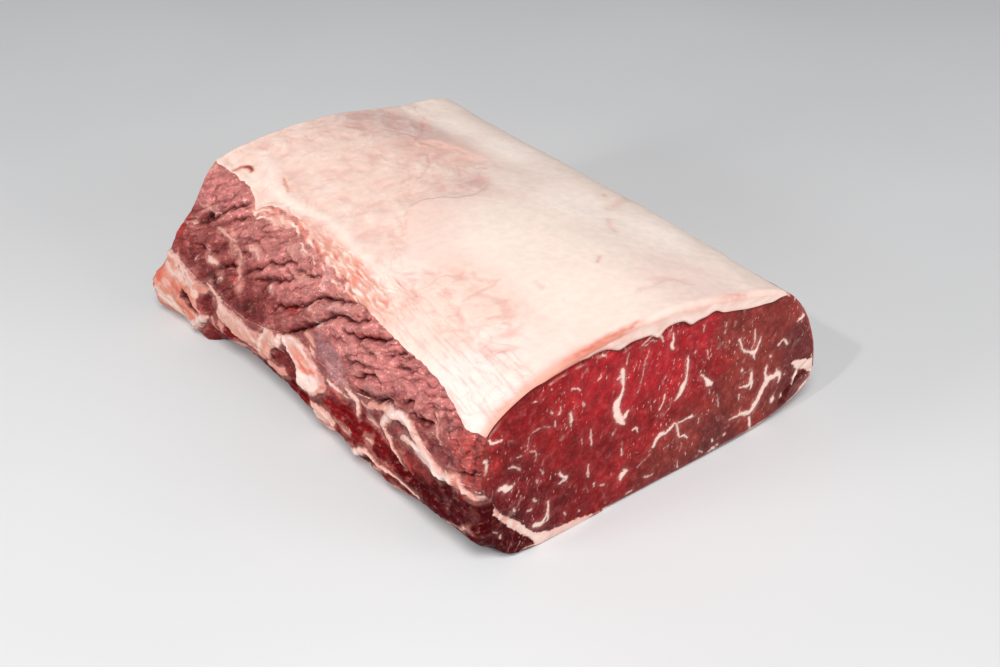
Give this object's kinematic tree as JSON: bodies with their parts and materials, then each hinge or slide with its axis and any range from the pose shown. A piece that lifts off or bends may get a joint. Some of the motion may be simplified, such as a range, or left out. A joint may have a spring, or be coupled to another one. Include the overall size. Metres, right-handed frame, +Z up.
{
  "type": "raw boneless beef rib roast",
  "caption": "Long block of raw beef, cut flat at both ends, with one large lean muscle under a cap of white fat and a narrow chain muscle along one lower edge.",
  "frame": {"origin": "middle of the underside, on the surface that the roast lies on", "axes": "+X from the chain muscle's side to the tail's side, +Y along the muscle from the front cut face to the back one, +Z up through the fat cap"},
  "size_m": [0.2029, 0.252, 0.0877],
  "materials": {
    "fat_cap": "cold white beef fat with a soft satin sheen, pinker and fibrous where its outer layer is pared away",
    "lean": "moist raw lean beef, crimson to brownish red, finely grained, with white marbling at the cut faces",
    "seam_fat": "soft moist seam fat, cream to orange pink",
    "dark_lean": "wet dark red lean beef"
  },
  "bodies": {
    "root": {"fat_cap": "fat_cap", "eye_muscle": "lean", "seam_fat": "seam_fat", "chain_muscle": "dark_lean", "tail_muscle": "dark_lean", "tail_fat": "seam_fat"}
  },
  "joints": []
}
